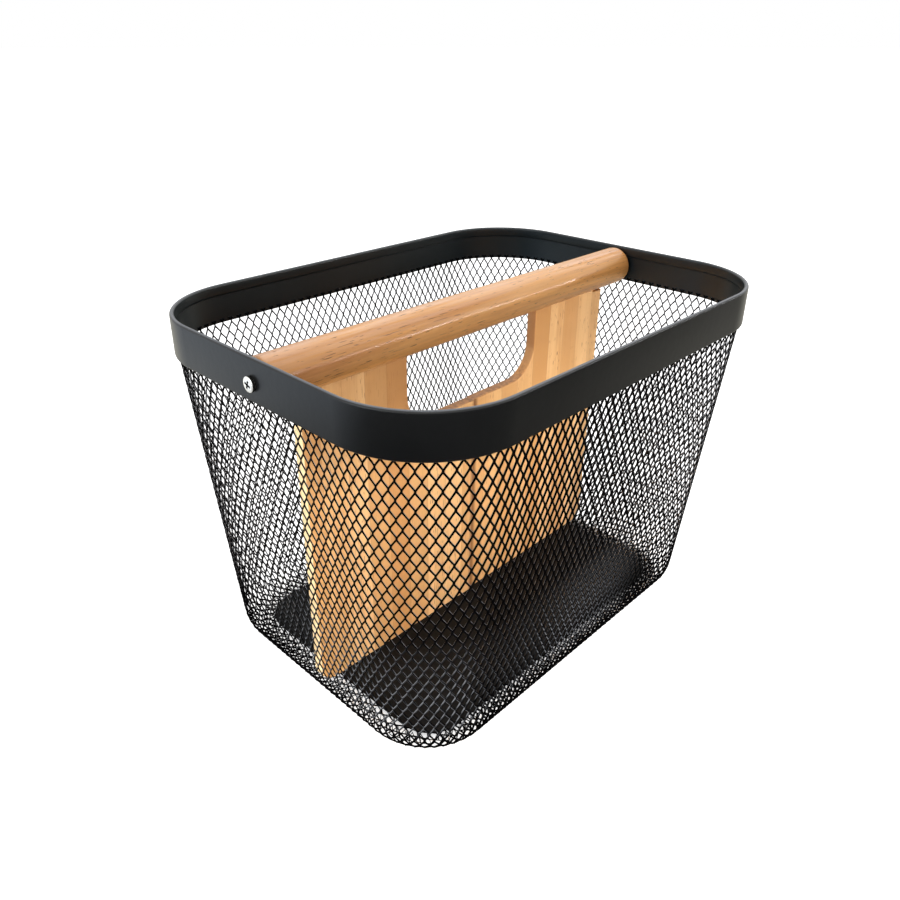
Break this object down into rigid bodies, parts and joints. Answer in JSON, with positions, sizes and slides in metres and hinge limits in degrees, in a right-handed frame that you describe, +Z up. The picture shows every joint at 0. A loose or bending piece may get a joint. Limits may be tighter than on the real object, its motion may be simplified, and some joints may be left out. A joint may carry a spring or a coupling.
{
  "type": "mesh basket",
  "caption": "Rectangular expanded steel mesh basket with a flat rim band, a round wooden handle and an upright wooden divider with a hand opening.",
  "frame": {"origin": "under the middle of the basket, at the level of the surface that it stands on", "axes": "+Z up, +X along the handle, towards the right-hand end in the picture's view, +Y towards the back long side"},
  "size_m": [0.306, 0.225, 0.212],
  "materials": {
    "painted_steel": "satin black powder coat",
    "mesh_steel": "satin black powder coat on expanded mesh",
    "plate_steel": "matt black powder coat",
    "handle_wood": "clear gloss varnish on hardwood",
    "board_wood": "clear satin varnish on edge-glued hardwood",
    "screw_steel": "bright nickel plated steel"
  },
  "bodies": {
    "root": {"rim_band": "painted_steel", "mesh_body": "mesh_steel", "base_plate": "plate_steel", "handle_bar": "handle_wood", "divider_board_left": "board_wood", "divider_board_right": "board_wood", "screw_left": "screw_steel", "screw_right": "screw_steel"}
  },
  "joints": []
}
